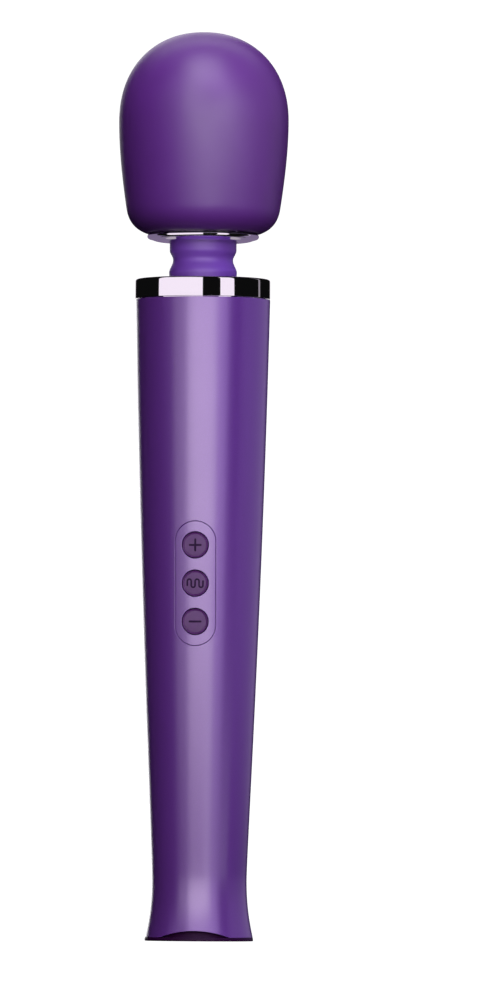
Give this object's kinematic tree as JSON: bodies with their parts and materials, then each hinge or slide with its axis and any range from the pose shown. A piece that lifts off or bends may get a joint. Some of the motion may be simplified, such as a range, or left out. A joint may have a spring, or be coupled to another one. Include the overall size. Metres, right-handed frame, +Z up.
{
  "type": "wand massager",
  "caption": "Handheld wand massager: flared tapering handle with push buttons on its front, plated collar, flexible neck and a soft round-topped head.",
  "frame": {"origin": "middle of the foot's flat underside, which the wand stands on", "axes": "+Z up along the wand's axis from foot to head; the buttons face -Y; +X is to the right of someone who looks at the buttons"},
  "size_m": [0.0616, 0.0614, 0.33],
  "materials": {
    "silicone_purple": "matte",
    "shell_purple": "satin",
    "button_plum": "satin",
    "chrome": "polished",
    "black_plastic": "satin",
    "grey_plastic": "satin",
    "black_rubber": "matte",
    "steel": "satin",
    "bronze": "satin",
    "ferrite": "matte",
    "cell_wrap": "gloss",
    "board_green": "satin",
    "wire_red": "satin",
    "wire_black": "satin"
  },
  "bodies": {
    "handle": {"front_shell": "shell_purple", "rear_shell": "shell_purple", "button_panel": "shell_purple", "base_cap": "button_plum", "base_screw_1": "steel", "base_screw_2": "steel", "charging_jack": "black_plastic", "jack_pin": "steel", "charging_lead": "wire_black", "battery_tray": "black_plastic", "lower_cell": "cell_wrap", "upper_cell": "cell_wrap", "control_board": "board_green", "board_screw_1": "steel", "board_screw_2": "steel", "controller_chip": "black_plastic", "lead_connector": "grey_plastic", "plus_switch": "black_plastic", "pattern_switch": "black_plastic", "minus_switch": "black_plastic", "motor_lead_red": "wire_red", "motor_lead_black": "wire_black", "motor_can": "steel", "motor_end_cap": "black_plastic", "left_magnet": "ferrite", "right_magnet": "ferrite", "motor_sleeve": "black_rubber", "motor_cradle": "grey_plastic", "motor_plate": "steel", "motor_screw_1": "steel", "motor_screw_2": "steel", "collar_ring": "chrome", "neck_clamp_plate": "grey_plastic", "clamp_screw_1": "steel", "clamp_screw_2": "steel", "clamp_screw_3": "steel", "neck_sleeve_lower": "silicone_purple"},
    "plus_key": {"plus_button": "button_plum", "plus_plunger": "black_plastic"},
    "pattern_key": {"pattern_button": "button_plum", "pattern_plunger": "black_plastic"},
    "minus_key": {"minus_button": "button_plum", "minus_plunger": "black_plastic"},
    "motor_rotor": {"motor_shaft": "steel", "motor_armature": "bronze"},
    "neck_link": {"neck_guide_ring": "grey_plastic"},
    "drive_coupling": {"flex_coupling": "black_rubber"},
    "head": {"head_cap": "silicone_purple", "head_core_lower": "grey_plastic", "head_core_upper": "grey_plastic", "head_ring": "chrome", "lower_bush": "bronze", "upper_bush": "bronze", "ring_screw_1": "steel", "ring_screw_2": "steel", "ring_screw_3": "steel", "neck_sleeve_upper": "silicone_purple"},
    "shaker": {"head_shaft": "steel", "eccentric_weight": "bronze"}
  },
  "joints": [
    {"name": "plus_press", "type": "slide", "parent": "handle", "child": "plus_key", "axis": [0, 1, 0], "range_m": [0, 0.0008], "stiffness_N_per_m": 1200, "springref_m": -0.0005},
    {"name": "pattern_press", "type": "slide", "parent": "handle", "child": "pattern_key", "axis": [0, 1, 0], "range_m": [0, 0.0008], "stiffness_N_per_m": 1200, "springref_m": -0.0005},
    {"name": "minus_press", "type": "slide", "parent": "handle", "child": "minus_key", "axis": [0, 1, 0], "range_m": [0, 0.0008], "stiffness_N_per_m": 1200, "springref_m": -0.0005},
    {"name": "neck_pitch", "type": "hinge", "parent": "handle", "child": "neck_link", "pos_m": [0, 0, 0.2428], "axis": [1, 0, 0], "range_deg": [-15, 15], "stiffness_Nm_per_rad": 3, "deforming": ["neck_sleeve_lower"]},
    {"name": "neck_roll", "type": "hinge", "parent": "neck_link", "child": "head", "pos_m": [0, 0, 0.252], "axis": [0, 1, 0], "range_deg": [-15, 15], "stiffness_Nm_per_rad": 3, "deforming": ["neck_sleeve_upper"]},
    {"name": "shaker_spin", "type": "hinge", "parent": "head", "child": "shaker", "pos_m": [0, 0, 0.282], "axis": [0, 0, 1], "continuous": true},
    {"name": "rotor_spin", "type": "hinge", "parent": "handle", "child": "motor_rotor", "pos_m": [0, 0, 0.1835], "axis": [0, 0, 1], "continuous": true},
    {"name": "coupling_spin", "type": "hinge", "parent": "neck_link", "child": "drive_coupling", "pos_m": [0, 0, 0.2474], "axis": [0, 0, 1], "continuous": true}
  ],
  "couplings": [
    {"joint": "rotor_spin", "follows": "shaker_spin", "ratio": 1},
    {"joint": "coupling_spin", "follows": "shaker_spin", "ratio": 1}
  ]
}
